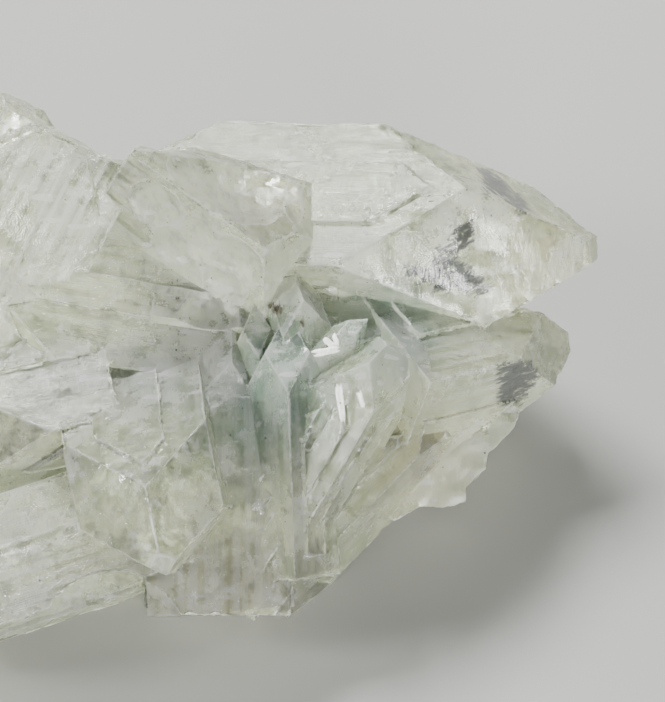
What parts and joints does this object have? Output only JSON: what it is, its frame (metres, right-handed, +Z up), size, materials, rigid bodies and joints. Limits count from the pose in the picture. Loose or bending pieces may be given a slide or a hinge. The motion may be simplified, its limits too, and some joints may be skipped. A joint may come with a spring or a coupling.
{
  "type": "apophyllite crystal cluster",
  "caption": "Cluster of pale green glassy tetragonal crystals grown together, cut flat underneath to rest on, with small white splinters in its pocket.",
  "frame": {"origin": "centre of the bounding box in X and Y, at the flat cut base the cluster rests on", "axes": "+Z up from the cut base, +X towards the free tips of the two eastern crystals, +Y towards the back"},
  "size_m": [0.096, 0.074, 0.0482],
  "materials": {
    "apophyllite": "clear to frosted, pale grey-green",
    "white_zeolite": "satin white mineral needles"
  },
  "bodies": {
    "root": {"crystal_cluster": "apophyllite", "white_splinter_spray": "white_zeolite", "white_splinter_long": "white_zeolite", "white_splinter_short": "white_zeolite"}
  },
  "joints": []
}
